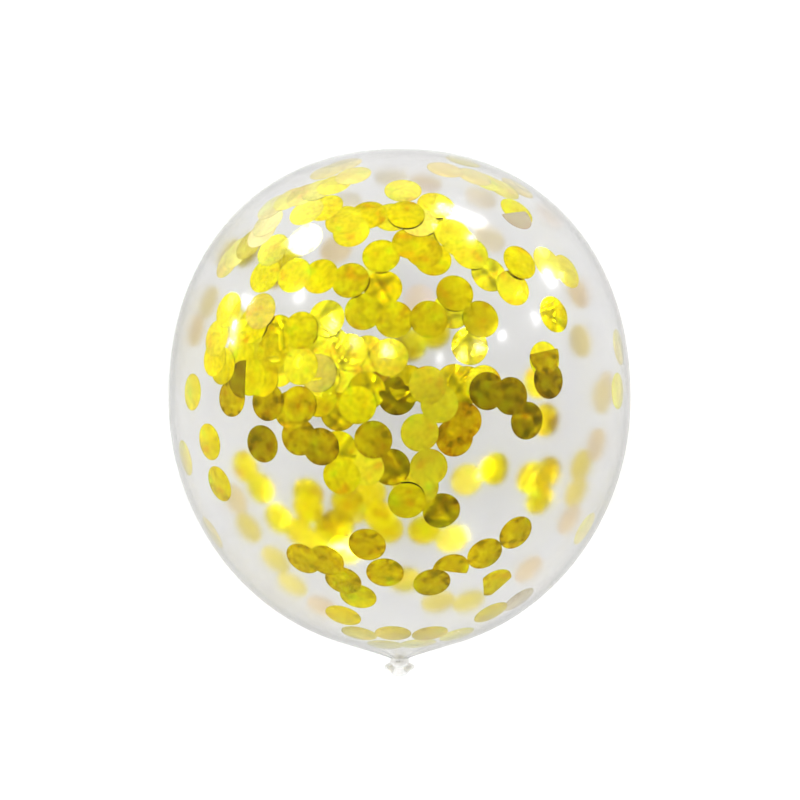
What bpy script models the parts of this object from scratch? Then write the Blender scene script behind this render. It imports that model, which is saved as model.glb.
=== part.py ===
"""Confetti balloon: a clear latex party balloon, blown up, tied and lying on its side.

Metres, +Z up. The balloon's own axis is level and runs along Y, with the crown at +Y and the tied neck at -Y.
The origin is the middle of the small flat spot that the balloon lies on.
The balloon is sealed, so its body is solid here. Only the mouth at the end of the tail is open.
"""

import math

import bmesh
import bpy
from mathutils import Matrix, Vector

# Inflated body: its outline is two quarter superellipses that meet at the widest ring. The stem's one ends
# in a straight taper to the neck.
BODY_WIDTH = 0.305
CROWN_LENGTH = 0.1655  # widest ring to the top of the crown
STEM_LENGTH = 0.1655  # widest ring to where the stem's curve would close
CROWN_FULLNESS = 2.18  # 2 is an ellipse, and more is squarer
STEM_FULLNESS = 1.97
TAPER_LENGTH = 0.006  # the last part of the stem's curve, which the straight taper replaces
REST_SPOT_WIDTH = 0.044  # across the flat spot, at the widest ring

# Tied neck
NECK_WIDTH = 0.0105  # gathered latex between the body and the knot
NECK_FLARE = 1.6  # how softly the body runs into the neck: 1 is the softest
KNOT_WIDTH = 0.0125  # across the wrapped loop
KNOT_CORD = 0.0046  # thickness of the twisted latex in the loop
KNOT_TILTS = (22.0, -30.0)  # degrees, the two turns of the loop, crossing each other
KNOT_SINK = 0.0008  # how far the knot is drawn into the end of the body

# Tail beyond the knot: a flattened tube that droops, and opens to a rolled lip
TAIL_LENGTH = 0.030
TAIL_BEND = 100.0  # degrees, from level towards the floor and back under the body
TAIL_BEND_RADIUS = 0.0085
TAIL_ROOT_WIDTH = 0.0065
LIP_WIDTH = 0.0180
LIP_OPENING = 0.0046  # across the flattened mouth, outside the wall
LIP_BEAD = 0.0022  # thickness of the rolled bead
BEAD_REACH = 0.999  # how much of the bead's half thickness stands beyond its middle, just short of a half ring
TAIL_WALL = 0.0006
MOUTH_DEPTH = 0.010

# Facets
BODY_SEGMENTS = 64
BODY_RINGS = 18  # on each side of the widest ring
KNOT_SEGMENTS = 28
CORD_SEGMENTS = 12
TAIL_SEGMENTS = 28
TAIL_RINGS = 14
BEAD_RINGS = 6

LATEX = ("clear_latex", (0.93, 0.93, 0.91, 1.0), 0.12, 0.0)

BODY_RADIUS = BODY_WIDTH / 2
AXIS_HEIGHT = math.sqrt(BODY_RADIUS**2 - (REST_SPOT_WIDTH / 2) ** 2)
TAPER_START = STEM_LENGTH - TAPER_LENGTH


def clear_scene():
    """Removes every object that the scene starts with."""
    for thing in list(bpy.data.objects):
        bpy.data.objects.remove(thing)


def material(name, colour, roughness, metallic):
    """A plain Principled material."""
    made = bpy.data.materials.new(name)
    made.use_nodes = True
    shader = made.node_tree.nodes["Principled BSDF"]
    shader.inputs["Base Color"].default_value = colour
    shader.inputs["Roughness"].default_value = roughness
    shader.inputs["Metallic"].default_value = metallic
    return made


def new_object(name, bm):
    """An object in the scene that holds bm's mesh, with its faces pointing out."""
    bmesh.ops.recalc_face_normals(bm, faces=bm.faces)
    mesh = bpy.data.meshes.new(name)
    bm.to_mesh(mesh)
    bm.free()
    made = bpy.data.objects.new(name, mesh)
    bpy.context.scene.collection.objects.link(made)
    return made


def superellipse(share, fullness):
    """The body's radius at a share of the way from the widest ring to where the curve closes."""
    return BODY_RADIUS * (1 - share**fullness) ** (1 / fullness)


def taper_slope():
    """How fast the stem narrows where its curve ends and its straight taper begins."""
    share = TAPER_START / STEM_LENGTH
    steepness = share ** (STEM_FULLNESS - 1) / (1 - share**STEM_FULLNESS)
    return superellipse(share, STEM_FULLNESS) * steepness / STEM_LENGTH


TAPER_SLOPE = taper_slope()
NECK_STATION = TAPER_START + superellipse(TAPER_START / STEM_LENGTH, STEM_FULLNESS) / TAPER_SLOPE
KNOT_RING_RADIUS = (KNOT_WIDTH - KNOT_CORD) / 2
KNOT_Y = -NECK_STATION - KNOT_CORD / 2 + KNOT_SINK


def body_radius(station):
    """The body's radius at a distance along its axis from the widest ring, positive towards the crown."""
    if station > 0:
        return superellipse(min(station / CROWN_LENGTH, 1.0), CROWN_FULLNESS)
    distance = -station
    if distance < TAPER_START:
        swell = superellipse(distance / STEM_LENGTH, STEM_FULLNESS)
    else:
        swell = max(TAPER_SLOPE * (NECK_STATION - distance), 0.0)
    neck = (NECK_WIDTH / 2) ** NECK_FLARE * distance / NECK_STATION
    return (swell**NECK_FLARE + neck) ** (1 / NECK_FLARE)


def body_outline():
    """(radius, station) pairs from the crown's pole to the end of the neck, closer together near both ends."""
    turns = [math.pi / 2 * ring / BODY_RINGS for ring in range(BODY_RINGS + 1)]
    crown = [CROWN_LENGTH * math.cos(turn) for turn in turns]
    stem = [-NECK_STATION * math.sin(turn) for turn in turns[1:]]
    outline = [(body_radius(station), station) for station in crown + stem]
    return outline + [(NECK_WIDTH / 2, KNOT_Y), (0.0, KNOT_Y)]


def make_body():
    """The inflated body and its neck, turned about the level axis and cut flat where it lies."""
    bm = bmesh.new()
    corners = [bm.verts.new((radius, station, 0)) for radius, station in body_outline()]
    edges = [bm.edges.new(pair) for pair in zip(corners, corners[1:])]
    bmesh.ops.spin(
        bm,
        geom=corners + edges,
        axis=(0, 1, 0),
        cent=(0, 0, 0),
        angle=2 * math.pi,
        steps=BODY_SEGMENTS,
        use_merge=True,
    )
    bmesh.ops.remove_doubles(bm, verts=bm.verts, dist=1e-6)
    bmesh.ops.translate(bm, verts=bm.verts, vec=(0, 0, AXIS_HEIGHT))
    bmesh.ops.bisect_plane(
        bm,
        geom=list(bm.verts) + list(bm.edges) + list(bm.faces),
        plane_co=(0, 0, 0),
        plane_no=(0, 0, 1),
        clear_inner=True,
    )
    bmesh.ops.holes_fill(bm, edges=[edge for edge in bm.edges if edge.is_boundary])
    return new_object("balloon", bm)


def make_knot_turn(tilt):
    """One turn of the knot's loop, a ring of twisted latex round the neck, leaning by tilt degrees."""
    bm = bmesh.new()
    angles = [2 * math.pi * step / CORD_SEGMENTS for step in range(CORD_SEGMENTS)]
    circle = [
        bm.verts.new((
            KNOT_RING_RADIUS + KNOT_CORD / 2 * math.cos(angle),
            KNOT_CORD / 2 * math.sin(angle),
            0,
        ))
        for angle in angles
    ]
    edges = [bm.edges.new(pair) for pair in zip(circle, circle[1:] + circle[:1])]
    bmesh.ops.spin(
        bm,
        geom=circle + edges,
        axis=(0, 1, 0),
        cent=(0, 0, 0),
        angle=2 * math.pi,
        steps=KNOT_SEGMENTS,
        use_merge=True,
    )
    bmesh.ops.remove_doubles(bm, verts=bm.verts, dist=1e-6)
    turn = new_object("knot_turn", bm)
    turn.data.transform(Matrix.Rotation(math.radians(tilt), 4, "X"))
    turn.location = (0, KNOT_Y, AXIS_HEIGHT)
    return turn


def tail_point(distance):
    """(place, direction) on the tail's middle line: level out of the knot, then bending down by TAIL_BEND."""
    start = Vector((0, KNOT_Y, AXIS_HEIGHT))
    bend = math.radians(TAIL_BEND)
    turned = min(distance / TAIL_BEND_RADIUS, bend)
    place = start + TAIL_BEND_RADIUS * Vector((0, -math.sin(turned), math.cos(turned) - 1))
    direction = Vector((0, -math.cos(turned), -math.sin(turned)))
    return place + direction * (distance - turned * TAIL_BEND_RADIUS), direction


def tail_ring(bm, distance, inset):
    """A ring of corners round the tail at a distance from the knot, inset from its outer face."""
    share = min(distance / TAIL_LENGTH, 1.0)
    opened = share * share * (3 - 2 * share)
    half_width = (TAIL_ROOT_WIDTH + (LIP_WIDTH - TAIL_ROOT_WIDTH) * opened) / 2 - inset
    half_thickness = (TAIL_ROOT_WIDTH + (LIP_OPENING - TAIL_ROOT_WIDTH) * opened) / 2 - inset
    place, direction = tail_point(distance)
    sideways = Vector((1, 0, 0))
    upward = sideways.cross(direction)
    ring = []
    for step in range(TAIL_SEGMENTS):
        angle = 2 * math.pi * step / TAIL_SEGMENTS
        offset = sideways * half_width * math.cos(angle) + upward * half_thickness * math.sin(angle)
        ring.append(bm.verts.new(place + offset))
    return ring


def tail_stations():
    """(distance, inset) of each ring: out along the tail, over the rolled bead and back into the mouth."""
    bead = LIP_BEAD / 2
    bead_middle = TAIL_LENGTH - bead
    outer = [bead_middle * ring / TAIL_RINGS for ring in range(TAIL_RINGS)]
    stations = [(distance, 0.0) for distance in outer]
    for step in range(BEAD_RINGS + 1):
        angle = math.pi * (step / BEAD_RINGS - 0.5)
        stations.append((bead_middle + bead * math.cos(angle) * BEAD_REACH, bead * math.sin(angle)))
    stations.append((bead_middle - MOUTH_DEPTH, TAIL_WALL))
    return stations


def make_tail():
    """The drooping tail, a tapered tube with a rolled bead round its open mouth."""
    bm = bmesh.new()
    rings = [tail_ring(bm, distance, inset) for distance, inset in tail_stations()]
    for first, second in zip(rings, rings[1:]):
        for step in range(TAIL_SEGMENTS):
            following = (step + 1) % TAIL_SEGMENTS
            bm.faces.new((first[step], first[following], second[following], second[step]))
    bm.faces.new(rings[0])
    bm.faces.new(rings[-1])
    return new_object("tail", bm)


def join(target, others):
    """Makes others part of target's one solid."""
    for other in others:
        other.hide_render = True
        other.display_type = "WIRE"
        union = target.modifiers.new(other.name, "BOOLEAN")
        union.operation = "UNION"
        union.solver = "EXACT"
        union.object = other


def main():
    clear_scene()
    balloon = make_body()
    balloon.data.materials.append(material(*LATEX))
    join(balloon, [make_knot_turn(tilt) for tilt in KNOT_TILTS] + [make_tail()])
    balloon.data.shade_smooth()


main()
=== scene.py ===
"""Looks of the confetti balloon: a clear latex skin with a tied neck, and gold foil discs shut inside it.

Metres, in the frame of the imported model: +Z up, and the balloon's own axis level along Y, with its crown
at +Y and its neck at -Y.
"""

import math
import random

import bmesh
import bpy
from mathutils import Matrix, Vector


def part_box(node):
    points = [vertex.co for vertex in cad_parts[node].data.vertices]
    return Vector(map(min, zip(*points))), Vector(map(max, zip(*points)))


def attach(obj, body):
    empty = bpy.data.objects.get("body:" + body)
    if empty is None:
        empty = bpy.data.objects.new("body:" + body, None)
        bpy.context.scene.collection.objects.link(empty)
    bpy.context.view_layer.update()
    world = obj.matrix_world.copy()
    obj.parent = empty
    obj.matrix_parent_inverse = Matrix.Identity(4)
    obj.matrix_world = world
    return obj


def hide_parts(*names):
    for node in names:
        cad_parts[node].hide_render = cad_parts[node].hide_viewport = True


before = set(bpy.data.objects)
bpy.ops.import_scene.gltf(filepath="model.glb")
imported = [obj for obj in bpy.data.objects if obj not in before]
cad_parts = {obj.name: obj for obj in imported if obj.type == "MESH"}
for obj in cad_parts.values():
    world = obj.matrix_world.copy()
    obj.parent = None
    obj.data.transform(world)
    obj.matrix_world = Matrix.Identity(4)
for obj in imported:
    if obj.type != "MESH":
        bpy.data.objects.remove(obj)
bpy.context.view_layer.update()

# Inflated body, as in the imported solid: its outline is two quarter superellipses, and the stem's one ends in
# a straight taper to the neck
LOW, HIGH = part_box("balloon")
BODY_RADIUS = (HIGH.x - LOW.x) / 2
AXIS_HEIGHT = HIGH.z - BODY_RADIUS
CROWN_LENGTH = HIGH.y
CROWN_FULLNESS = 2.18
STEM_LENGTH = 0.1655  # widest ring to where the stem's curve would close
STEM_FULLNESS = 1.97
TAPER_START = STEM_LENGTH - 0.006
NECK_WIDTH = 0.0105
NECK_FLARE = 1.6  # how softly the taper runs out into the neck, softer when lower
LEAST = 0.01  # keeps divisors away from nothing at the body's middle
SLOPE_STEP = 0.0001  # along the axis, over which a slope is taken

# Skin
WALL = 0.0003  # drawn thicker than the real 0.1 mm, so that its two faces stay apart
SKIN_SEGMENTS = 144
SKIN_RINGS = 56  # on each side of the widest ring
PLEATS = 15  # folds of gathered latex that run into the neck
PLEAT_REACH = 0.020  # along the axis, from the neck to where the folds have faded
PLEAT_DEPTH = 0.05  # share of the radius at the neck
BROAD_PLEATS = 7  # fewer and shallower folds that make the others uneven
BROAD_PLEAT_SHARE = 0.5  # of the depth of the others
BROAD_PLEAT_TURN = 1.1  # radians
SPOT_SOFTNESS = 0.0012  # height over which the skin rounds into the flat spot

# Knot
KNOT_WIDTH = 0.0125
KNOT_CORD = 0.0046
KNOT_TILTS = (22.0, -30.0)  # degrees that each turn of it leans
KNOT_SINK = 0.0008  # how far it presses into the end of the neck
KNOT_RING_RADIUS = (KNOT_WIDTH - KNOT_CORD) / 2
KNOT_CORE_RADIUS = KNOT_RING_RADIUS * 1.15  # of the ball that fills its middle
KNOT_STEPS = 96
KNOT_VOXEL = 0.00022  # grain of the mesh that makes its turns one body
CORD_STEPS = 40
CORD_STRANDS = 5
STRAND_DEPTH = 0.09  # of the grooves between the strands, to the cord's radius
STRAND_TWIST = 3  # how many strands the grooves move on by, once round the ring

# Tail
TAIL_LENGTH = 0.030
TAIL_BEND = math.radians(100.0)
TAIL_BEND_RADIUS = 0.0085
TAIL_ROOT_WIDTH = 0.0065
LIP_WIDTH = 0.0180
LIP_OPENING = 0.0046
LIP_BEAD = 0.0022
TAIL_WALL = 0.0005
MOUTH_DEPTH = 0.016
TAIL_SEGMENTS = 112
TAIL_RINGS = 44
BEAD_RINGS = 12
TAIL_FOLDS = 7
TAIL_FOLD_DEPTH = 0.13
TAIL_FOLD_TWIST = 2  # radians that the folds' wave moves on by, from the knot to the lip
TAIL_FOLD_FADING = 1.08  # the folds are gone at 1 / 1.08 of the way to the lip
TAIL_FOLD_POWER = 1.3
TAIL_EDGE = math.radians(60)  # edges that are sharper than this stay sharp

# Foil discs
DISC_WIDTH = 0.0235
FOIL = 0.00004  # thickness
FOIL_EDGE = math.radians(35)  # edges that are sharper than this stay sharp
DISC_SEGMENTS = 40
DISC_RINGS = (0.12, 0.25, 0.40, 0.55, 0.70, 0.84, 0.94, 1.0)  # shares of the disc's radius
RIM_SHADE = 0.88  # painted shade: the disc's rim is painted darker than the rest
DISC_GAP = 0.0001  # between the wall and the nearest disc
LAYER = 0.00006  # between discs that lie over each other
OVERLAP = DISC_WIDTH * 0.98  # discs whose middles are nearer than this lie over each other
WOBBLE = 0.0003  # how much a disc leans off the wall, in radians
CLINGING = (0.995, 1.0)  # how closely a disc takes up the wall's curve, 1 being wholly
LOOSE_CLINGING = 0.2  # the same for the one disc that lies loose
LEAST_SIDEWAYS = 0.05  # below this, a disc faces so nearly along the axis that it is lined up with X

# Forms of the discs that aren't flat. A reach runs from a disc's middle to the line of its fold.
FOLD_ANGLE = math.radians(168)
FOLD_REACH = DISC_WIDTH * 0.10
PINCH_REACH = DISC_WIDTH * 0.34
PINCH = math.radians(62.0)  # how far a pinched disc's two folds are turned away from its heading
BEND_ANGLE = math.radians(26)
BEND_REACH = DISC_WIDTH * 0.20
CREASES = 3
CREASE_TURNS = (0.6, 1.2)  # radians between a crease and the next
CREASE_REACHES = (-0.35, 0.35)  # shares of the disc's width
CREASE_DEPTHS = (0.0002, 0.0004)
CREASE_WIDTHS = (0.0016, 0.0034)
CREASE_SHADE = 0.3  # about how much painted light and shade lighten and darken a crease's two flanks

# How discs of one tone differ
LEVELS = (0.95, 1.05)  # lightness
WARMTHS = (0.96, 1.03)  # of green, more of which is cooler
SLOPES = (0.0, 0.14)  # painted light: how much lighter a disc is painted towards one side
MIDDLE_STREAKING = 0.5  # painted streaks of light and shade at a disc's middle, to those at its rim

# Discs strewn on the bottom of the wall, which the photograph can't show
STREWN_STATIONS = (-0.11, 0.11)
STREWN_ANGLES = (-1.2, 1.2)  # round the axis, from straight down
STREWN_TRIES = 400
HIDING_STEPS = 10  # places round a disc's edge that must be hidden
COVER_PX = 17.0  # how near an upper disc's middle hides a place

# Camera, from the photograph's frame
PHOTO_SIZE = 800  # pixels, each way
BODY_MIDDLE_PX = (399.5, 400.0)  # the balloon's axis and its widest ring
BODY_HALF_WIDTH_PX = 231.0
CAMERA_DISTANCE = 1.9  # from the axis, from how much smaller the far discs look
SENSOR = 36.0  # mm
OUTLINE_RADIUS = BODY_RADIUS / math.sqrt(1 - (BODY_RADIUS / CAMERA_DISTANCE) ** 2)
PIXEL = OUTLINE_RADIUS / BODY_HALF_WIDTH_PX  # metres to a pixel, at the axis
CAMERA_PLACE = Vector((
    (PHOTO_SIZE / 2 - BODY_MIDDLE_PX[0]) * PIXEL,
    (BODY_MIDDLE_PX[1] - PHOTO_SIZE / 2) * PIXEL,
    AXIS_HEIGHT + CAMERA_DISTANCE,
))
VIEW_GAMMA = 0.77
SEED = 12  # of the random draws

# Rays from the camera to the wall
UPPER, LOWER = 1, -1  # the wall's side that a ray is followed to
RAY_DEPTH = DISC_WIDTH / 20  # a ray that stays nearer the wall than this is moved towards the body's middle
RAY_PULL = 0.995  # what each such move leaves of its way from there
RAY_REACH = BODY_RADIUS * 1.2  # from the axis to where it is surely outside
RAY_HALVINGS = 40

# Discs on the upper wall, as the photograph shows them: the pixel of the middle, the tone, which is painted
# light and shade, then form and heading in degrees if the disc isn't flat. The outermost disc of a pile comes
# first.
CROWN_DISCS = (
    (305, 239, "hot"), (327, 171, "tan"), (344, 164, "tan"), (353, 175, "pale"), (334, 184, "haze"),
    (318, 189, "pale"), (303, 194, "pale"), (289, 198, "pale"), (272, 206, "tan"), (267, 222, "tan"),
    (261, 232, "tan"), (249, 243, "dusk"), (236, 252, "pale"), (227, 261, "pale"), (306, 211, "haze"),
    (325, 207, "lit"), (343, 219, "lit"), (351, 231, "lit"), (368, 214, "plain"), (406, 214, "plain"),
    (392, 216, "lit"), (419, 221, "haze"), (403, 190, "haze"), (436, 204, "lit"),
    (433, 225, "lit", "creased", 50), (445, 169, "tan"), (463, 161, "pale"), (474, 176, "tan"),
    (487, 181, "pale"), (503, 188, "pale"), (518, 187, "tan"), (516, 215, "ash", "folded", 100),
    (517, 211, "lit"), (272, 249, "haze"), (453, 233, "lit"), (459, 240, "lit"), (471, 252, "lit"),
    (411, 242, "plain"), (424, 250, "soft"), (433, 258, "plain"),
)
SHOULDER_DISCS = (
    (381, 255, "plain"), (264, 275, "lit"), (294, 275, "lit"), (320, 276, "plain"), (350, 280, "soft"),
    (383, 287, "plain", "creased", 30), (490, 273, "lit", "creased", 110), (520, 262, "plain"),
    (514, 287, "lit"), (548, 263, "haze"), (567, 271, "haze"), (555, 314, "plain", "creased", 60),
    (545, 355, "dark", "folded", 100), (549, 380, "deep"), (545, 360, "lit"), (455, 293, "soft"),
    (429, 319, "soft"), (481, 319, "soft"), (470, 346, "lit", "creased", 80), (394, 319, "soft"),
    (363, 311, "soft"), (452, 310, "lit", "creased", 15),
)
LEFT_DISCS = (
    (228, 310, "lit"), (216, 338, "lit"), (214, 358, "plain"), (222, 366, "plain"),
    (242, 379, "deep", "folded", 0), (250, 377, "plain"), (231, 398, "dim"), (192, 392, "lit"),
    (260, 311, "dusk"), (252, 325, "plain"),
    (277, 333, "soft", "creased", 10), (300, 330, "soft"), (326, 318, "lit", "creased", 55),
    (262, 378, "soft"), (278, 368, "lit", "creased", 30), (300, 366, "lit"), (321, 378, "lit", "creased", 95),
    (267, 402, "dark"), (298, 405, "dim"), (290, 410, "dim"), (240, 350, "plain"), (272, 352, "soft"),
    (318, 373, "dusk"), (330, 345, "lit", "creased", 5),
)
MIDDLE_DISCS = (
    (348, 352, "lit", "creased", 20), (367, 354, "lit", "creased", 0), (389, 357, "lit"),
    (366, 391, "soft", "creased", 120), (397, 396, "deep", "creased", 60),
    (338, 412, "dim", "creased", 45), (357, 405, "plain"), (428, 385, "lit"),
    (455, 383, "soft", "creased", 70), (468, 385, "soft", "creased", 100), (488, 391, "deep"),
    (485, 384, "lit"), (512, 396, "deep"), (529, 421, "deep", "creased", 45),
    (344, 377, "lit", "creased", 140), (408, 384, "soft", "creased", 20), (318, 398, "soft"),
    (440, 404, "lit"),
)
LOWER_DISCS = (
    (262, 444, "deep"), (298, 437, "dark"), (320, 447, "dark"), (338, 450, "plain", "creased", 20),
    (373, 440, "dim"), (341, 477, "plain"), (420, 433, "lit"), (464, 421, "amber"), (455, 438, "amber"),
    (391, 468, "dark", "creased", 30), (429, 468, "lit"), (407, 501, "soft"), (420, 488, "lit"),
    (442, 512, "dark", "creased", 85), (209, 442, "plain"), (185, 458, "pale"), (219, 484, "soft"),
    (212, 533, "tan"), (365, 468, "lit"),
)
STEM_DISCS = (
    (367, 545, "dim"), (385, 573, "dim"), (303, 559, "dim"), (326, 561, "dim"), (343, 581, "dim"),
    (358, 597, "soft"), (343, 616, "plain"), (359, 634, "dusk"), (393, 634, "dusk"), (430, 634, "dusk"),
    (457, 635, "pale"), (385, 645, "pale"), (418, 644, "pale"), (516, 533, "dim"), (485, 554, "dim"),
    (451, 569, "dim", "folded", 260), (432, 583, "dark"), (495, 583, "soft", "pinched", 270),
    (491, 613, "dusk"), (519, 600, "ash"), (619, 347, "tan"), (618, 391, "pale"), (585, 529, "tan"),
)
# Discs on the lower wall, which show through the upper one
FAR_CROWN_DISCS = (
    (391, 176, "faint"), (425, 183, "faint"), (481, 197, "faint"), (490, 238, "faint"), (550, 215, "faint"),
    (336, 249, "mist"), (345, 203, "faint"), (208, 302, "mist"), (195, 330, "mist"), (420, 300, "faint"),
    (434, 332, "plain"), (410, 345, "lit"), (579, 292, "mist"), (581, 341, "mist"), (608, 388, "mist"),
    (602, 397, "mist"), (538, 382, "lit"), (546, 420, "soft"),
)
FAR_STEM_DISCS = (
    (245, 467, "lit"), (260, 488, "lit"), (308, 494, "soft"), (308, 508, "plain"), (279, 519, "lit"),
    (300, 533, "lit"), (353, 509, "dusk"), (370, 492, "lit"), (387, 529, "soft"), (424, 530, "soft"),
    (452, 539, "haze"), (467, 480, "haze"), (496, 469, "soft", "bent", 170), (531, 478, "lit"),
    (548, 473, "dusk"), (540, 499, "lit"), (582, 466, "straw"), (577, 492, "straw"), (529, 570, "mist"),
    (469, 602, "straw"), (438, 602, "straw"), (235, 500, "mist"), (248, 528, "straw"), (275, 560, "straw"),
    (292, 585, "straw"), (322, 607, "mist"), (345, 550, "haze"), (405, 580, "dusk"), (597, 445, "mist"),
    (570, 520, "mist"), (330, 530, "soft"), (312, 545, "lit"), (347, 502, "soft"), (338, 524, "dim"),
    (380, 516, "plain"),
)

# The discs' tones: painted light and shade, and painted haze of the milky latex
CHAMPAGNE = (0.99, 0.96, 0.74)  # painted haze: foil as it looks through the milkiest latex, whose veil of light is painted into the colour
PAINTED_TONES = {  # a colour that multiplies the foil's own and paints how light or dark the disc mirrors the studio, how far painted haze washes it out, and how strong its painted streaks of light and shade are
    "lit": ((1.05, 1.06, 1.1), 0.04, 0.15),
    "plain": ((0.97, 0.96, 0.95), 0.0, 0.25),
    "soft": ((0.86, 0.84, 0.80), 0.0, 0.35),
    "dim": ((0.73, 0.68, 0.60), 0.0, 0.7),
    "amber": ((0.82, 0.68, 0.60), 0.0, 1.0),
    "dark": ((0.60, 0.55, 0.40), 0.0, 0.9),
    "deep": ((0.46, 0.42, 0.30), 0.0, 1.0),
    "dusk": ((0.90, 0.87, 0.80), 0.20, 0.2),
    "haze": ((1.06, 1.06, 1.0), 0.20, 0.1),
    "pale": ((1.06, 1.06, 0.98), 0.40, 0.1),
    "tan": ((1.04, 1.0, 0.98), 0.62, 0.1),
    "ash": ((0.76, 0.72, 0.95), 0.65, 0.2),
    "straw": ((0.94, 0.85, 0.40), 0.95, 0.0),
    "mist": ((0.94, 0.85, 0.84), 0.95, 0.0),
    "faint": ((1.06, 1.02, 1.28), 0.95, 0.0),
    # partly painted highlight: the disc that mirrors the brightest light is also painted pale
    "hot": ((1.05, 1.05, 1.1), 0.70, 0.0),
}

# Colours of the materials and the studio: places on a ramp, with a colour each
CLEAR_TINTS = ((0.3, (0.885, 0.885, 0.895)), (0.7, (0.91, 0.91, 0.905)))
RIM_TINT = (0.985, 0.985, 0.98)  # of clear latex that is seen edge on
CREAM_TINTS = ((0.3, (0.97, 0.96, 0.93)), (0.7, (1.0, 0.995, 0.98)))
GOLD_TINTS = (
    (0.27, (0.92, 0.64, 0.003)),
    (0.40, (0.92, 0.80, 0.003)),
    (0.60, (0.93, 0.86, 0.004)),
    (0.76, (0.80, 0.89, 0.006)),
)
MOTTLE_TINTS = ((0.32, (0.84, 0.82, 0.80)), (0.58, (1.0, 1.0, 1.0)))
# painted light and shade: light and dark streaks on the foil
STREAK_TINTS = (
    (0.34, (0.34, 0.27, 0.20)),
    (0.45, (0.92, 0.76, 0.70)),
    (0.54, (1.05, 1.05, 1.00)),
    (0.68, (1.25, 1.32, 1.20)),
)
STUDIO_TINTS = (  # the surround's, from its pale part to DARK_SIDE
    (0.30, (1.0, 1.0, 1.0)),
    (0.60, (0.92, 0.92, 0.92)),
    (0.86, (0.84, 0.84, 0.84)),
    (0.97, (0.68, 0.68, 0.68)),
)
WHITE = (1.0, 1.0, 1.0)

# Sockets of a Mix node that mixes colours
MIX_SHARE, MIX_FIRST, MIX_SECOND = 0, 6, 7
MIX_RESULT = 2

# Studio
DARK_SIDE = Vector((0.30, -0.25, 0.90))  # where its surround is dimmest
STUDIO_STRENGTH = 1.3
FLOOR_RADIUS = 14.0
LIGHT_CLEARANCE = 0.01  # of a small light's lower edge over the floor
GLINTS = (  # highlights on the skin: column, row, distance, width, height, radiance
    (305, 239, 0.75, 0.10, 0.10, 110.0),
    (461, 215, 0.75, 0.26, 0.12, 70.0),
    (300, 297, 1.10, 0.10, 0.08, 120.0),
    (248, 301, 0.90, 0.04, 0.12, 110.0),
    (235, 326, 0.90, 0.04, 0.05, 260.0),
    (233, 341, 0.90, 0.03, 0.04, 350.0),
    (333, 325, 1.10, 0.07, 0.07, 200.0),
    (355, 342, 1.10, 0.04, 0.04, 350.0),
    (387, 351, 1.10, 0.08, 0.05, 250.0),
    (479, 347, 1.10, 0.05, 0.06, 260.0),
    (462, 356, 1.10, 0.04, 0.04, 350.0),
    (549, 277, 0.90, 0.09, 0.09, 150.0),
    (535, 318, 1.20, 0.03, 0.03, 1100.0),
    (502, 336, 1.20, 0.03, 0.03, 1100.0),
    (440, 358, 1.20, 0.03, 0.03, 700.0),
    (471, 238, 0.90, 0.03, 0.03, 600.0),
)
SPARKLES = (  # highlights on the foil: as above, and 1 on the upper wall or -1 on the lower one
    (305, 239, 0.75, 0.16, 0.16, 9.0, 1),
    (461, 214, 0.75, 0.26, 0.12, 6.0, 1),
    (333, 325, 0.90, 0.06, 0.06, 9.0, 1),
    (236, 327, 0.90, 0.04, 0.05, 8.0, 1),
    (355, 342, 0.90, 0.04, 0.04, 9.0, 1),
    (388, 350, 0.90, 0.09, 0.06, 9.0, 1),
    (301, 297, 0.90, 0.09, 0.06, 7.0, 1),
    (549, 277, 0.90, 0.09, 0.09, 8.0, 1),
    (479, 347, 0.90, 0.05, 0.07, 9.0, 1),
    (462, 356, 0.90, 0.04, 0.04, 9.0, 1),
    (434, 226, 0.90, 0.03, 0.06, 7.0, 1),
    (471, 238, 0.90, 0.04, 0.04, 8.0, 1),
    (522, 294, 0.90, 0.04, 0.04, 8.0, 1),
    (545, 306, 0.90, 0.04, 0.08, 8.0, 1),
    (300, 360, 0.90, 0.04, 0.04, 6.0, 1),
    (272, 497, 0.80, 0.03, 0.03, 6.0, -1),
    (288, 521, 0.80, 0.03, 0.03, 6.0, -1),
    (353, 563, 0.80, 0.03, 0.03, 6.0, -1),
    (487, 468, 0.80, 0.06, 0.06, 5.0, -1),
    (534, 476, 0.80, 0.06, 0.06, 5.0, -1),
)
PANELS = (90.0, 125.0, 160.0, 195.0)  # degrees from +X, round the balloon, of panels that the foil mirrors
PANEL_DISTANCE = 0.5
PANEL_WIDTH = 0.30
PANEL_HEIGHT = 0.2
PANEL_RADIANCE = 0.2


def new_object(name, bm, sharp_angle=None):
    """An object that holds bm's mesh, shaded smooth, with edges sharper than sharp_angle kept."""
    bmesh.ops.recalc_face_normals(bm, faces=bm.faces)
    mesh = bpy.data.meshes.new(name)
    bm.to_mesh(mesh)
    bm.free()
    mesh.shade_smooth()
    if sharp_angle is not None:
        mesh.set_sharp_from_angle(angle=sharp_angle)
    made = bpy.data.objects.new(name, mesh)
    bpy.context.scene.collection.objects.link(made)
    return made


def finish_piece(piece, material):
    """Gives a piece its material and hangs it under the balloon's root body. Every piece is part of the one
    balloon.
    """
    piece.data.materials.append(material)
    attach(piece, "root")
    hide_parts("balloon")


def superellipse(share, fullness):
    """The body's radius at a share of the way from the widest ring to where the curve closes."""
    return BODY_RADIUS * (1 - share**fullness) ** (1 / fullness)


def taper_slope():
    """How fast the stem narrows where its curve ends and its straight taper begins."""
    share = TAPER_START / STEM_LENGTH
    steepness = share ** (STEM_FULLNESS - 1) / (1 - share**STEM_FULLNESS)
    return superellipse(share, STEM_FULLNESS) * steepness / STEM_LENGTH


TAPER_SLOPE = taper_slope()
NECK_STATION = TAPER_START + superellipse(TAPER_START / STEM_LENGTH, STEM_FULLNESS) / TAPER_SLOPE
KNOT_Y = -NECK_STATION - KNOT_CORD / 2 + KNOT_SINK


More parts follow.
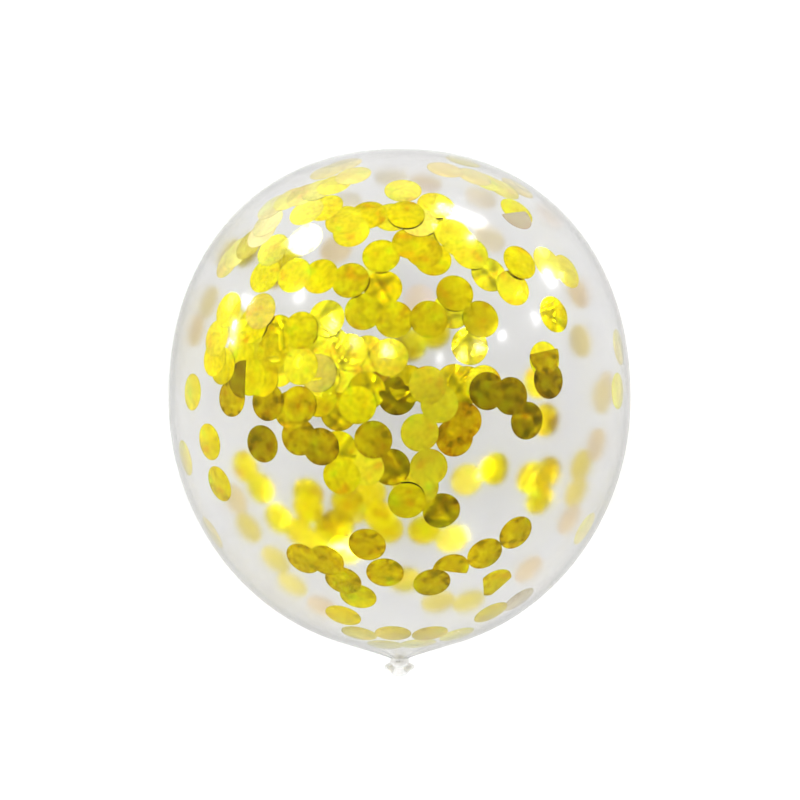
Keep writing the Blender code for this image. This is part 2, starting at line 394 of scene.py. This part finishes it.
def body_radius(station):
    """The body's radius at a distance along its axis from the widest ring, positive towards the crown."""
    if station > 0:
        return superellipse(min(station / CROWN_LENGTH, 1.0), CROWN_FULLNESS)
    distance = -station
    if distance < TAPER_START:
        swell = superellipse(distance / STEM_LENGTH, STEM_FULLNESS)
    else:
        swell = max(TAPER_SLOPE * (NECK_STATION - distance), 0.0)
    neck = (NECK_WIDTH / 2) ** NECK_FLARE * distance / NECK_STATION
    return (swell**NECK_FLARE + neck) ** (1 / NECK_FLARE)


def body_slope(station):
    """How fast the body's radius grows along its axis."""
    rise = body_radius(station + SLOPE_STEP) - body_radius(station - SLOPE_STEP)
    return rise / (2 * SLOPE_STEP)


def way_out(place):
    """How far a place lies inside the skin's outer face, then how much the way out leads off the axis and
    how much along it.
    """
    radial = math.hypot(place.x, place.z - AXIS_HEIGHT)
    if place.y < -TAPER_START:
        lean = math.hypot(1, TAPER_SLOPE)
        return (TAPER_SLOPE * (NECK_STATION + place.y) - radial) / lean, 1 / lean, -TAPER_SLOPE / lean
    length, fullness = (CROWN_LENGTH, CROWN_FULLNESS) if place.y > 0 else (STEM_LENGTH, STEM_FULLNESS)
    across = radial / BODY_RADIUS
    along = abs(place.y) / length
    level = max((across**fullness + along**fullness) ** (1 / fullness), LEAST)
    off_axis = across ** (fullness - 1) / BODY_RADIUS
    on_axis = math.copysign(along ** (fullness - 1) / length, place.y)
    steepness = max(math.hypot(off_axis, on_axis), LEAST)
    return (1 - level) * level ** (fullness - 1) / steepness, off_axis / steepness, on_axis / steepness


def wall_gap(place):
    """How far a place lies inside the skin's inner face. It is negative outside it."""
    return min(way_out(place)[0], place.z) - WALL


def outward(place):
    """The direction straight out through the skin near a place."""
    _, off_axis, on_axis = way_out(place)
    spoke = Vector((place.x, 0, place.z - AXIS_HEIGHT)).normalized()
    return (spoke * off_axis + Vector((0, on_axis, 0))).normalized()


def set_inputs(node, **values):
    """Sets a node's own sockets: their names with an underscore for each space."""
    for name, value in values.items():
        node.inputs[name.replace("_", " ")].default_value = value


def new_material(name):
    """(material, nodes, links, its Principled node)."""
    made = bpy.data.materials.new(name)
    made.use_nodes = True
    tree = made.node_tree
    return made, tree.nodes, tree.links, tree.nodes["Principled BSDF"]


def noise(nodes, links, scale, detail, roughness=0.5):
    """A noise texture in the piece's own coordinates."""
    place = nodes.new("ShaderNodeTexCoord")
    texture = nodes.new("ShaderNodeTexNoise")
    set_inputs(texture, Scale=scale, Detail=detail, Roughness=roughness)
    links.new(place.outputs["Object"], texture.inputs["Vector"])
    return texture.outputs["Fac"]


def ramp(nodes, links, source, stops):
    """A colour ramp over source, from (place, colour) stops."""
    made = nodes.new("ShaderNodeValToRGB")
    elements = made.color_ramp.elements
    while len(elements) < len(stops):
        elements.new(1.0)
    for element, (place, colour) in zip(elements, stops):
        element.position = place
        element.color = (*colour, 1.0)
    links.new(source, made.inputs["Fac"])
    return made.outputs["Color"]


def span(nodes, links, source, low, high, start=0.0, end=1.0):
    """Source, mapped from low..high to start..end."""
    made = nodes.new("ShaderNodeMapRange")
    set_inputs(made, From_Min=low, From_Max=high, To_Min=start, To_Max=end)
    links.new(source, made.inputs["Value"])
    return made.outputs["Result"]


def mixed(nodes, links, share, first, second, blend="MIX"):
    """Two colours mixed by a share. Each of the three is a socket or a plain value."""
    made = nodes.new("ShaderNodeMix")
    made.data_type = "RGBA"
    made.blend_type = blend
    for socket, value in ((MIX_SHARE, share), (MIX_FIRST, first), (MIX_SECOND, second)):
        if isinstance(value, bpy.types.NodeSocket):
            links.new(value, made.inputs[socket])
        elif socket == MIX_SHARE:
            made.inputs[socket].default_value = value
        else:
            made.inputs[socket].default_value = (*value, 1.0)
    return made.outputs[MIX_RESULT]


def multiplied(nodes, links, first, second):
    """Two colours multiplied."""
    return mixed(nodes, links, 1.0, first, second, "MULTIPLY")


def bump(nodes, links, height, distance, strength, under=None):
    """A bump of a real height, over another bump if there is one."""
    made = nodes.new("ShaderNodeBump")
    set_inputs(made, Strength=strength, Distance=distance)
    links.new(height, made.inputs["Height"])
    if under is not None:
        links.new(under, made.inputs["Normal"])
    return made.outputs["Normal"]


def skin_material():
    """Clear, stretched latex: thin and glossy, a little milky, and clearer where it is seen edge on."""
    made, nodes, links, shader = new_material("clear_latex")
    set_inputs(shader, Transmission_Weight=1.0, Roughness=0.145, IOR=1.16)
    set_inputs(shader, Sheen_Weight=0.06, Sheen_Roughness=0.4)
    edge = nodes.new("ShaderNodeLayerWeight")
    set_inputs(edge, Blend=0.35)
    rim = span(nodes, links, edge.outputs["Facing"], low=0.55, high=1.0)
    clear = ramp(nodes, links, noise(nodes, links, scale=22.0, detail=3.0), CLEAR_TINTS)
    links.new(mixed(nodes, links, rim, clear, RIM_TINT), shader.inputs["Base Color"])
    orange_peel = noise(nodes, links, scale=60.0, detail=2.0)
    relief = bump(nodes, links, orange_peel, distance=0.0002, strength=0.5)
    links.new(relief, shader.inputs["Normal"])
    return made


def thick_latex_material():
    """Unstretched latex of the knot and tail: milky, cream and softly glossy."""
    made, nodes, links, shader = new_material("thick_latex")
    set_inputs(shader, Transmission_Weight=0.15, Roughness=0.14, IOR=1.4)
    cream = ramp(nodes, links, noise(nodes, links, scale=260.0, detail=4.0), CREAM_TINTS)
    links.new(cream, shader.inputs["Base Color"])
    grain = noise(nodes, links, scale=1500.0, detail=3.0)
    relief = bump(nodes, links, grain, distance=0.00006, strength=0.6)
    links.new(relief, shader.inputs["Normal"])
    return made


def facets(nodes, links, scale):
    """Round dents with ridges between them, like those of crumpled film."""
    place = nodes.new("ShaderNodeTexCoord")
    cells = nodes.new("ShaderNodeTexVoronoi")
    set_inputs(cells, Scale=scale)
    links.new(place.outputs["Object"], cells.inputs["Vector"])
    rounded = nodes.new("ShaderNodeMath")
    rounded.operation = "MULTIPLY"
    for factor in rounded.inputs[:2]:
        links.new(cells.outputs["Distance"], factor)
    return rounded.outputs["Value"]


def foil_gold(nodes, links):
    """The foil's own colour: gold with warmer, greener and darker patches."""
    gold = ramp(nodes, links, noise(nodes, links, scale=85.0, detail=3.0), GOLD_TINTS)
    patches = noise(nodes, links, scale=420.0, detail=3.0, roughness=0.6)
    return multiplied(nodes, links, gold, ramp(nodes, links, patches, MOTTLE_TINTS))


def foil_relief(nodes, links):
    """The foil's relief: slow ripples, round crumples and a fine grain."""
    waves = noise(nodes, links, scale=65.0, detail=1.0)
    ripple = bump(nodes, links, waves, distance=0.0007, strength=0.6)
    dents = facets(nodes, links, scale=80.0)
    crumple = bump(nodes, links, dents, distance=0.0008, strength=0.3, under=ripple)
    grain = noise(nodes, links, scale=700.0, detail=2.0)
    return bump(nodes, links, grain, distance=0.00004, strength=0.5, under=crumple)


def corner_value(nodes, name):
    """The node that reads what the discs' corners hold under a name."""
    made = nodes.new("ShaderNodeAttribute")
    made.attribute_name = name
    return made


def foil_material():
    """Gold metallised film: mirror-like and crumpled, with each disc's painted tone of light and shade,
    painted haze and painted streaks of light and shade.
    """
    made, nodes, links, shader = new_material("gold_foil")
    painted_tone = corner_value(nodes, "painted_tone")
    painted_haze_share = painted_tone.outputs["Alpha"]
    # painted haze: the milky latex's veil of light, painted into the foil's colour
    painted_haze = mixed(nodes, links, painted_haze_share, foil_gold(nodes, links), CHAMPAGNE)
    # painted light and shade: each disc's tone multiplies the foil's colour
    toned = multiplied(nodes, links, painted_haze, painted_tone.outputs["Color"])
    # painted light and shade: streaks of light and dark patches, as strong as each disc's share
    painted_streaking = noise(nodes, links, scale=150.0, detail=4.0, roughness=0.6)
    streaks = ramp(nodes, links, painted_streaking, STREAK_TINTS)
    streaked = mixed(nodes, links, corner_value(nodes, "painted_streak_mask").outputs["Fac"], WHITE, streaks)
    links.new(multiplied(nodes, links, toned, streaked), shader.inputs["Base Color"])
    # the more painted haze, the less metallic the foil
    metal = span(nodes, links, painted_haze_share, low=0.75, high=0.9, start=1.0, end=0.15)
    links.new(metal, shader.inputs["Metallic"])
    haze = noise(nodes, links, scale=120.0, detail=3.0)
    dullness = span(nodes, links, haze, low=0.3, high=0.75, start=0.05, end=0.12)
    links.new(dullness, shader.inputs["Roughness"])
    links.new(foil_relief(nodes, links), shader.inputs["Normal"])
    return made


def skin_stations():
    """Places of the skin's rings along the axis, closer together towards both ends."""
    turns = [math.pi / 2 * ring / SKIN_RINGS for ring in range(SKIN_RINGS + 1)]
    crown = [CROWN_LENGTH * math.cos(turn) for turn in turns[1:]]
    stem = [-NECK_STATION * math.sin(turn) for turn in turns[1:]]
    return crown + stem + [KNOT_Y]


def skin_point(station, angle, inset):
    """A place on the skin, or inset inside it, with the neck's folds and the flat spot."""
    from_neck = station + NECK_STATION
    fading = max(0.0, 1 - from_neck / PLEAT_REACH)
    folds = math.cos(PLEATS * angle) + BROAD_PLEAT_SHARE * math.cos(BROAD_PLEATS * angle + BROAD_PLEAT_TURN)
    radius = body_radius(max(station, -NECK_STATION)) * (1 + PLEAT_DEPTH * fading**2 * folds)
    slope = body_slope(max(station, -NECK_STATION))
    lean = math.hypot(1, slope)
    radius = max(radius - inset / lean, 0.0)
    y = station + inset * slope / lean
    height = AXIS_HEIGHT + radius * math.cos(angle)
    floor = inset
    if height < floor + SPOT_SOFTNESS:
        height = floor + SPOT_SOFTNESS * math.exp((height - floor - SPOT_SOFTNESS) / SPOT_SOFTNESS)
    return Vector((radius * math.sin(angle), y, height))


def skin_shell(bm, inset):
    """One face of the skin, from the crown's pole to the knot. Returns its last ring."""
    pole = bm.verts.new((0, CROWN_LENGTH - inset, AXIS_HEIGHT))
    angles = [2 * math.pi * step / SKIN_SEGMENTS for step in range(SKIN_SEGMENTS)]
    rings = [
        [bm.verts.new(skin_point(station, angle, inset)) for angle in angles] for station in skin_stations()
    ]
    for step in range(SKIN_SEGMENTS):
        bm.faces.new((pole, rings[0][step], rings[0][(step + 1) % SKIN_SEGMENTS]))
    for first, second in zip(rings, rings[1:]):
        bridge(bm, first, second)
    return rings[-1]


def bridge(bm, first, second):
    """Faces between two rings of as many corners."""
    count = len(first)
    for step in range(count):
        following = (step + 1) % count
        bm.faces.new((first[step], first[following], second[following], second[step]))


def make_skin():
    """The blown-up skin, with its outer and inner face, closed where it enters the knot."""
    bm = bmesh.new()
    outer = skin_shell(bm, 0.0)
    inner = skin_shell(bm, WALL)
    bridge(bm, outer, inner)
    return new_object("latex_skin", bm)


def knot_turn(bm, tilt):
    """One turn of the knot: a ring of twisted strands round the neck, leaning by tilt degrees."""
    lean = Matrix.Rotation(math.radians(tilt), 4, "X")
    middle = Vector((0, KNOT_Y, AXIS_HEIGHT))
    rings = []
    for step in range(KNOT_STEPS):
        around = 2 * math.pi * step / KNOT_STEPS
        spoke = Vector((math.cos(around), 0, math.sin(around)))
        ring = []
        for corner in range(CORD_STEPS):
            turn = 2 * math.pi * corner / CORD_STEPS
            strand = 1 - STRAND_DEPTH * (0.5 + 0.5 * math.cos(CORD_STRANDS * turn + STRAND_TWIST * around))
            thickness = KNOT_CORD / 2 * strand
            offset = spoke * (KNOT_RING_RADIUS + thickness * math.cos(turn))
            offset += Vector((0, thickness * math.sin(turn), 0))
            ring.append(bm.verts.new(middle + lean @ offset))
        rings.append(ring)
    for first, second in zip(rings, rings[1:] + rings[:1]):
        bridge(bm, first, second)


def apply_modifiers(piece):
    """Replaces a piece's mesh by what its modifiers make of it."""
    evaluated = piece.evaluated_get(bpy.context.evaluated_depsgraph_get())
    mesh = bpy.data.meshes.new_from_object(evaluated)
    piece.modifiers.clear()
    piece.data = mesh


def make_knot():
    """The knot: two crossing turns of twisted latex, grown into one body."""
    bm = bmesh.new()
    for tilt in KNOT_TILTS:
        knot_turn(bm, tilt)
    core = bmesh.ops.create_uvsphere(bm, u_segments=24, v_segments=12, radius=KNOT_CORE_RADIUS)
    bmesh.ops.translate(bm, verts=core["verts"], vec=(0, KNOT_Y, AXIS_HEIGHT))
    knot = new_object("knot", bm)
    remesh = knot.modifiers.new("one_body", "REMESH")
    remesh.mode = "VOXEL"
    remesh.voxel_size = KNOT_VOXEL
    soften = knot.modifiers.new("soften", "SMOOTH")
    soften.factor = 0.5
    soften.iterations = 3
    apply_modifiers(knot)
    knot.data.shade_smooth()
    return knot


def tail_point(distance):
    """(place, direction) on the tail's middle line: level out of the knot, then bending down."""
    start = Vector((0, KNOT_Y, AXIS_HEIGHT))
    turned = min(distance / TAIL_BEND_RADIUS, TAIL_BEND)
    place = start + TAIL_BEND_RADIUS * Vector((0, -math.sin(turned), math.cos(turned) - 1))
    direction = Vector((0, -math.cos(turned), -math.sin(turned)))
    return place + direction * (distance - turned * TAIL_BEND_RADIUS), direction


def tail_ring(bm, distance, inset):
    """A ring of corners round the tail, inset from its outer face, with folds that fade towards the lip."""
    share = min(distance / TAIL_LENGTH, 1.0)
    opened = share * share * (3 - 2 * share)
    half_width = (TAIL_ROOT_WIDTH + (LIP_WIDTH - TAIL_ROOT_WIDTH) * opened) / 2 - inset
    half_thickness = (TAIL_ROOT_WIDTH + (LIP_OPENING - TAIL_ROOT_WIDTH) * opened) / 2 - inset
    fading = max(0.0, 1 - share * TAIL_FOLD_FADING) ** TAIL_FOLD_POWER
    place, direction = tail_point(distance)
    sideways = Vector((1, 0, 0))
    upward = sideways.cross(direction)
    ring = []
    for step in range(TAIL_SEGMENTS):
        angle = 2 * math.pi * step / TAIL_SEGMENTS
        wave = math.cos(TAIL_FOLDS * angle + TAIL_FOLD_TWIST * share)
        fold = 1 - TAIL_FOLD_DEPTH * fading * (0.5 + 0.5 * wave)
        across = half_width * math.cos(angle) * fold
        along = half_thickness * math.sin(angle) * fold
        ring.append(bm.verts.new(place + sideways * across + upward * along))
    return ring


def tail_stations():
    """(distance, inset) of each ring: out along the tail, over the rolled bead and back into the mouth."""
    bead = LIP_BEAD / 2
    bead_middle = TAIL_LENGTH - bead
    stations = [(bead_middle * ring / TAIL_RINGS, bead - TAIL_WALL) for ring in range(TAIL_RINGS)]
    for step in range(BEAD_RINGS + 1):
        angle = math.pi * (step / BEAD_RINGS - 0.5)
        stations.append((bead_middle + bead * math.cos(angle), bead * math.sin(angle)))
    for ring in range(TAIL_RINGS // 2):
        stations.append((bead_middle - MOUTH_DEPTH * (ring + 1) * 2 / TAIL_RINGS, bead))
    return stations


def make_tail():
    """The drooping tail, gathered at the knot and open at its rolled lip."""
    bm = bmesh.new()
    rings = [tail_ring(bm, distance, inset) for distance, inset in tail_stations()]
    for first, second in zip(rings, rings[1:]):
        bridge(bm, first, second)
    bm.faces.new(rings[0])
    bm.faces.new(rings[-1])
    return new_object("tail", bm, TAIL_EDGE)


def photo_ray(column, row):
    """The way from the camera through a pixel of the photograph, as far as it takes to come a metre down."""
    return Vector((
        (column - PHOTO_SIZE / 2) * PIXEL / CAMERA_DISTANCE,
        (PHOTO_SIZE / 2 - row) * PIXEL / CAMERA_DISTANCE,
        -1.0,
    ))


def place_on_wall(column, row, side):
    """Where the camera's ray through a pixel meets the inner wall, on its UPPER or LOWER side."""
    middle = Vector(BODY_MIDDLE_PX)
    spot = Vector((column, row))
    while True:
        ray = photo_ray(spot.x, spot.y)
        inside = CAMERA_PLACE + ray * CAMERA_DISTANCE
        if wall_gap(inside) > RAY_DEPTH:
            break
        spot = middle + (spot - middle) * RAY_PULL
    outside = CAMERA_PLACE + ray * (CAMERA_DISTANCE - side * RAY_REACH)
    for _ in range(RAY_HALVINGS):
        halfway = (inside + outside) / 2
        if wall_gap(halfway) > 0:
            inside = halfway
        else:
            outside = halfway
    return inside


def flat_disc():
    """A flat disc of foil about the origin, with painted shade at its rim and with no thickness yet."""
    bm = bmesh.new()
    shade = bm.verts.layers.float_color.new("painted_tone")
    middle = bm.verts.new((0, 0, 0))
    middle[shade] = (1.0, 1.0, 1.0, 1.0)
    angles = [2 * math.pi * step / DISC_SEGMENTS for step in range(DISC_SEGMENTS)]
    rings = []
    for share in DISC_RINGS:
        radius = DISC_WIDTH / 2 * share
        rings.append([bm.verts.new((radius * math.cos(a), radius * math.sin(a), 0)) for a in angles])
        # painted shade at the rim
        level = RIM_SHADE if share == 1.0 else 1.0
        for vert in rings[-1]:
            vert[shade] = (level, level, level, 1.0)
    for step in range(DISC_SEGMENTS):
        bm.faces.new((middle, rings[0][step], rings[0][(step + 1) % DISC_SEGMENTS]))
    for first, second in zip(rings, rings[1:]):
        bridge(bm, second, first)
    return bm


def fold_disc(bm, heading, reach, bend):
    """Folds a flat disc to its +Z side by bend, along a line that is reach from its middle."""
    across = Vector((math.cos(heading), math.sin(heading), 0))
    geometry = list(bm.verts) + list(bm.edges) + list(bm.faces)
    bmesh.ops.bisect_plane(bm, geom=geometry, plane_co=across * reach, plane_no=across)
    for vert in bm.verts:
        beyond = vert.co.dot(across) - reach
        if beyond > 0:
            vert.co -= across * beyond * (1 - math.cos(bend))
            vert.co.z += beyond * math.sin(bend)


def crease_disc(bm, heading, reach, depth, width):
    """Presses a soft crease into a disc, reach from its middle, with painted light on one flank and painted
    shade on the other.
    """
    across = Vector((math.cos(heading), math.sin(heading), 0))
    shade = bm.verts.layers.float_color["painted_tone"]
    for vert in bm.verts:
        away = (vert.co.dot(across) - reach) / width
        rise = math.exp(-away * away)
        vert.co.z += depth * rise
        # painted light and shade on the crease's flanks
        level = vert[shade][0] * (1 + math.copysign(CREASE_SHADE, depth) * 2 * away * rise)
        vert[shade] = (level, level, level, 1.0)


def shape_disc(form, heading, draw):
    """A disc that is flat, or folded, pinched, bent or creased. Its +Z side is to face into the balloon."""
    bm = flat_disc()
    if form == "folded":
        fold_disc(bm, heading, FOLD_REACH, FOLD_ANGLE)
    if form == "pinched":
        fold_disc(bm, heading - PINCH, PINCH_REACH, FOLD_ANGLE)
        fold_disc(bm, heading + PINCH, PINCH_REACH, FOLD_ANGLE)
    if form == "bent":
        fold_disc(bm, heading, BEND_REACH, BEND_ANGLE)
    if form == "creased":
        for turn in range(CREASES):
            line = heading + turn * draw.uniform(*CREASE_TURNS)
            depth = draw.choice((-1, 1)) * draw.uniform(*CREASE_DEPTHS)
            reach = DISC_WIDTH * draw.uniform(*CREASE_REACHES)
            crease_disc(bm, line, reach, depth, draw.uniform(*CREASE_WIDTHS))
    return bm


def shade_disc(bm, colour, painted_haze, painted_streaking, draw):
    """Colours a disc: painted light makes it a little lighter towards one side, and its painted streaks of
    light and shade grow towards its rim.
    """
    level = draw.uniform(*LEVELS)
    warmth = draw.uniform(*WARMTHS)
    heading = draw.uniform(0, 2 * math.pi)
    slope = draw.uniform(*SLOPES)
    # painted light: the disc is painted lighter towards one side
    painted_light_side = Vector((math.cos(heading), math.sin(heading), 0)) * slope / (DISC_WIDTH / 2)
    shade = bm.verts.layers.float_color["painted_tone"]
    painted_streak_mask = bm.verts.layers.float_color.new("painted_streak_mask")
    for vert in bm.verts:
        out = min(vert.co.length / (DISC_WIDTH / 2), 1.0)
        lightness = vert[shade][0] * level * (1 + vert.co.dot(painted_light_side))
        vert[shade] = (lightness * colour[0], lightness * warmth * colour[1], lightness * colour[2], painted_haze)
        # painted streaks of light and shade, stronger towards the rim
        amount = painted_streaking * (MIDDLE_STREAKING + (1 - MIDDLE_STREAKING) * out * out)
        vert[painted_streak_mask] = (amount, amount, amount, 1.0)


def disc_axes(facing):
    """The picture's right and up, as nearly as they lie in a disc that faces a direction."""
    sideways = Vector((0, 1, 0)).cross(facing)
    if sideways.length < LEAST_SIDEWAYS:
        sideways = Vector((1, 0, 0))
    sideways.normalize()
    return sideways, facing.cross(sideways)


def lay_disc(group, place, manner, layer, draw):
    """Adds one disc to a group: on the inner wall at a place, with as many discs as layer says between."""
    painted_tone, form, heading = manner
    colour, painted_haze, painted_streaking = PAINTED_TONES[painted_tone]
    normal = outward(place)
    wobble = Vector([draw.gauss(0, WOBBLE) for _ in range(3)])
    facing = (normal + wobble).normalized()
    sideways, onward = disc_axes(facing)
    bm = shape_disc(form, heading, draw)
    shade_disc(bm, colour, painted_haze, painted_streaking, draw)
    clinging = LOOSE_CLINGING if painted_tone == "hot" else draw.uniform(*CLINGING)
    for vert in bm.verts:
        flat = place + sideways * vert.co.x + onward * vert.co.y
        vert.co = flat - facing * (vert.co.z - clinging * min(wall_gap(flat), 0))
    lowest = min(wall_gap(vert.co) for vert in bm.verts)
    lift = DISC_GAP + FOIL + layer * LAYER - lowest
    for vert in bm.verts:
        vert.co -= normal * lift
    bm.normal_update()
    bmesh.ops.solidify(bm, geom=list(bm.faces), thickness=FOIL)
    bmesh.ops.recalc_face_normals(bm, faces=bm.faces)
    mesh = bpy.data.meshes.new("disc")
    bm.to_mesh(mesh)
    bm.free()
    group.from_mesh(mesh)
    bpy.data.meshes.remove(mesh)


def layers_of(places):
    """How many earlier discs each one lies over, for a list of places."""
    layers = []
    for index, place in enumerate(places):
        under = [layers[other] for other in range(index) if (places[other] - place).length < OVERLAP]
        layers.append(1 + max(under) if under else 0)
    return layers


def make_confetti(lists, draw):
    """A piece for each named list of discs at (place, manner). Earlier discs lie nearer the wall."""
    discs = [disc for group in lists.values() for disc in group]
    layers = iter(layers_of([place for place, _ in discs]))
    pieces = []
    for name, group in lists.items():
        bm = bmesh.new()
        for place, manner in group:
            lay_disc(bm, place, manner, next(layers), draw)
        pieces.append(new_object(name, bm, FOIL_EDGE))
    return pieces


def photographed(pixels, side):
    """(place, manner) of discs read from the photograph."""
    discs = []
    for column, row, painted_tone, *shape in pixels:
        form, turn = shape if shape else ("flat", 0)
        discs.append((place_on_wall(column, row, side), (painted_tone, form, math.radians(turn))))
    return discs


def photo_pixel(place):
    """The pixel of the photograph that shows a place."""
    offset = place - CAMERA_PLACE
    scale = CAMERA_DISTANCE / -offset.z / PIXEL
    return Vector((PHOTO_SIZE / 2 + offset.x * scale, PHOTO_SIZE / 2 - offset.y * scale))


def is_hidden(place, covers):
    """Whether upper discs, at the pixels in covers, wholly hide a disc at a place on the lower wall."""
    sideways, onward = disc_axes(outward(place))
    for step in range(HIDING_STEPS):
        turn = 2 * math.pi * step / HIDING_STEPS
        edge = place + (sideways * math.cos(turn) + onward * math.sin(turn)) * DISC_WIDTH / 2
        spot = photo_pixel(edge)
        if all((cover - spot).length > COVER_PX for cover in covers):
            return False
    return True


def scattered(covers, draw):
    """(place, manner) of discs strewn over the bottom of the wall, where upper ones hide them from above."""
    discs = []
    for _ in range(STREWN_TRIES):
        station = draw.uniform(*STREWN_STATIONS)
        angle = math.pi + draw.uniform(*STREWN_ANGLES)
        radius = body_radius(station) - WALL
        place = Vector((radius * math.sin(angle), station, AXIS_HEIGHT + radius * math.cos(angle)))
        place.z = max(place.z, WALL)
        if is_hidden(place, covers):
            form = draw.choice(("flat", "flat", "flat", "creased"))
            # painted light and shade: a tone drawn at random for each hidden disc
            discs.append((place, (draw.choice(("plain", "lit", "soft")), form, draw.uniform(0, math.pi))))
    return discs


def make_floor():
    """The plain pale floor."""
    bm = bmesh.new()
    bmesh.ops.create_circle(bm, cap_ends=True, radius=FLOOR_RADIUS, segments=96)
    floor = new_object("floor", bm)
    made, _, _, shader = new_material("pale_floor")
    set_inputs(shader, Base_Color=(0.5, 0.5, 0.5, 1.0), Roughness=0.6)
    set_inputs(shader, Emission_Color=(*WHITE, 1.0), Emission_Strength=0.54)
    floor.data.materials.append(made)


def softbox(name, place, target, width, height, radiance):
    """A soft rectangular studio light that shows only in what it lights and in reflections."""
    data = bpy.data.lights.new(name, "AREA")
    data.shape = "RECTANGLE"
    data.size = width
    data.size_y = height
    data.energy = radiance * math.pi * width * height
    made = bpy.data.objects.new(name, data)
    made.location = place
    made.rotation_mode = "QUATERNION"
    made.rotation_quaternion = (Vector(target) - Vector(place)).to_track_quat("-Z", "Y")
    made.visible_camera = False
    made.visible_transmission = False
    bpy.context.scene.collection.objects.link(made)
    return made


def mirrored_place(column, row, distance, side):
    """Where a light stands that the wall mirrors to the camera at a pixel, and the spot on the wall."""
    spot = place_on_wall(column, row, side)
    normal = outward(spot)
    to_camera = (CAMERA_PLACE - spot).normalized()
    direction = 2 * normal.dot(to_camera) * normal - to_camera
    return spot + direction * distance, spot


def light_only(light, pieces):
    """Keeps a light's glow off everything but some pieces."""
    lit = bpy.data.collections.new(light.name + "_lights")
    for piece in pieces:
        lit.objects.link(piece)
    light.light_linking.receiver_collection = lit


def make_highlight(name, aim, width, height, radiance, pieces):
    """A small light that makes one highlight: aim is the pixel, the light's distance and the wall's side."""
    place, spot = mirrored_place(*aim)
    place.z = max(place.z, height / 2 + LIGHT_CLEARANCE)
    light = softbox(name, place, spot, width, height, radiance)
    light_only(light, pieces)
    return light


def make_highlights(skin, confetti):
    """Small lights round the balloon, for its highlights. The foil mirrors only the weaker ones."""
    for number, (column, row, distance, width, height, radiance) in enumerate(GLINTS):
        aim = (column, row, distance, UPPER)
        make_highlight(f"glint_{number}", aim, width, height, radiance, [skin])
    for number, (column, row, distance, width, height, radiance, side) in enumerate(SPARKLES):
        aim = (column, row, distance, side)
        light = make_highlight(f"sparkle_{number}", aim, width, height, radiance, [skin] + confetti)
        light.visible_transmission = True


def make_panels(pieces):
    """Pale panels that stand round the crown and the left of the balloon, just beyond the picture."""
    for number, turn in enumerate(PANELS):
        heading = math.radians(turn)
        place = Vector((math.cos(heading), math.sin(heading), 0)) * PANEL_DISTANCE
        place.z = PANEL_HEIGHT / 2
        target = (0, 0, PANEL_HEIGHT / 2)
        panel = softbox(f"panel_{number}", place, target, PANEL_WIDTH, PANEL_HEIGHT, PANEL_RADIANCE)
        panel.visible_transmission = True
        light_only(panel, pieces)


def make_lights():
    """A white studio: a pale surround that is dimmer overhead."""
    world = bpy.data.worlds.new("studio")
    bpy.context.scene.world = world
    world.use_nodes = True
    nodes = world.node_tree.nodes
    links = world.node_tree.links
    direction = nodes.new("ShaderNodeTexCoord")
    towards = nodes.new("ShaderNodeVectorMath")
    towards.operation = "DOT_PRODUCT"
    towards.inputs[1].default_value = DARK_SIDE.normalized()
    links.new(direction.outputs["Generated"], towards.inputs[0])
    shade = ramp(nodes, links, towards.outputs["Value"], STUDIO_TINTS)
    links.new(shade, nodes["Background"].inputs["Color"])
    set_inputs(nodes["Background"], Strength=STUDIO_STRENGTH)


def make_camera():
    """The camera straight above the lying balloon, so that it is seen square to its axis."""
    data = bpy.data.cameras.new("camera")
    data.sensor_width = SENSOR
    data.lens = SENSOR * CAMERA_DISTANCE / (PHOTO_SIZE * PIXEL)
    made = bpy.data.objects.new("camera", data)
    made.location = CAMERA_PLACE
    bpy.context.scene.collection.objects.link(made)
    bpy.context.scene.camera = made


def main():
    draw = random.Random(SEED)
    make_camera()
    make_lights()
    make_floor()
    skin = make_skin()
    finish_piece(skin, skin_material())
    thick_latex = thick_latex_material()
    finish_piece(make_knot(), thick_latex)
    finish_piece(make_tail(), thick_latex)
    foil = foil_material()
    upper = {
        "confetti_crown": photographed(CROWN_DISCS, UPPER),
        "confetti_shoulder": photographed(SHOULDER_DISCS, UPPER),
        "confetti_left": photographed(LEFT_DISCS, UPPER),
        "confetti_middle": photographed(MIDDLE_DISCS, UPPER),
        "confetti_lower": photographed(LOWER_DISCS, UPPER),
        "confetti_stem": photographed(STEM_DISCS, UPPER),
    }
    covers = [photo_pixel(place) for discs in upper.values() for place, _ in discs]
    lower = {
        "confetti_far_crown": photographed(FAR_CROWN_DISCS, LOWER),
        "confetti_far_stem": photographed(FAR_STEM_DISCS, LOWER),
        "confetti_under": scattered(covers, draw),
    }
    confetti = make_confetti(upper, draw) + make_confetti(lower, draw)
    for piece in confetti:
        finish_piece(piece, foil)
    make_panels([skin] + confetti)
    make_highlights(skin, confetti)
    bpy.context.scene.view_settings.view_transform = "Standard"
    bpy.context.scene.view_settings.gamma = VIEW_GAMMA


main()
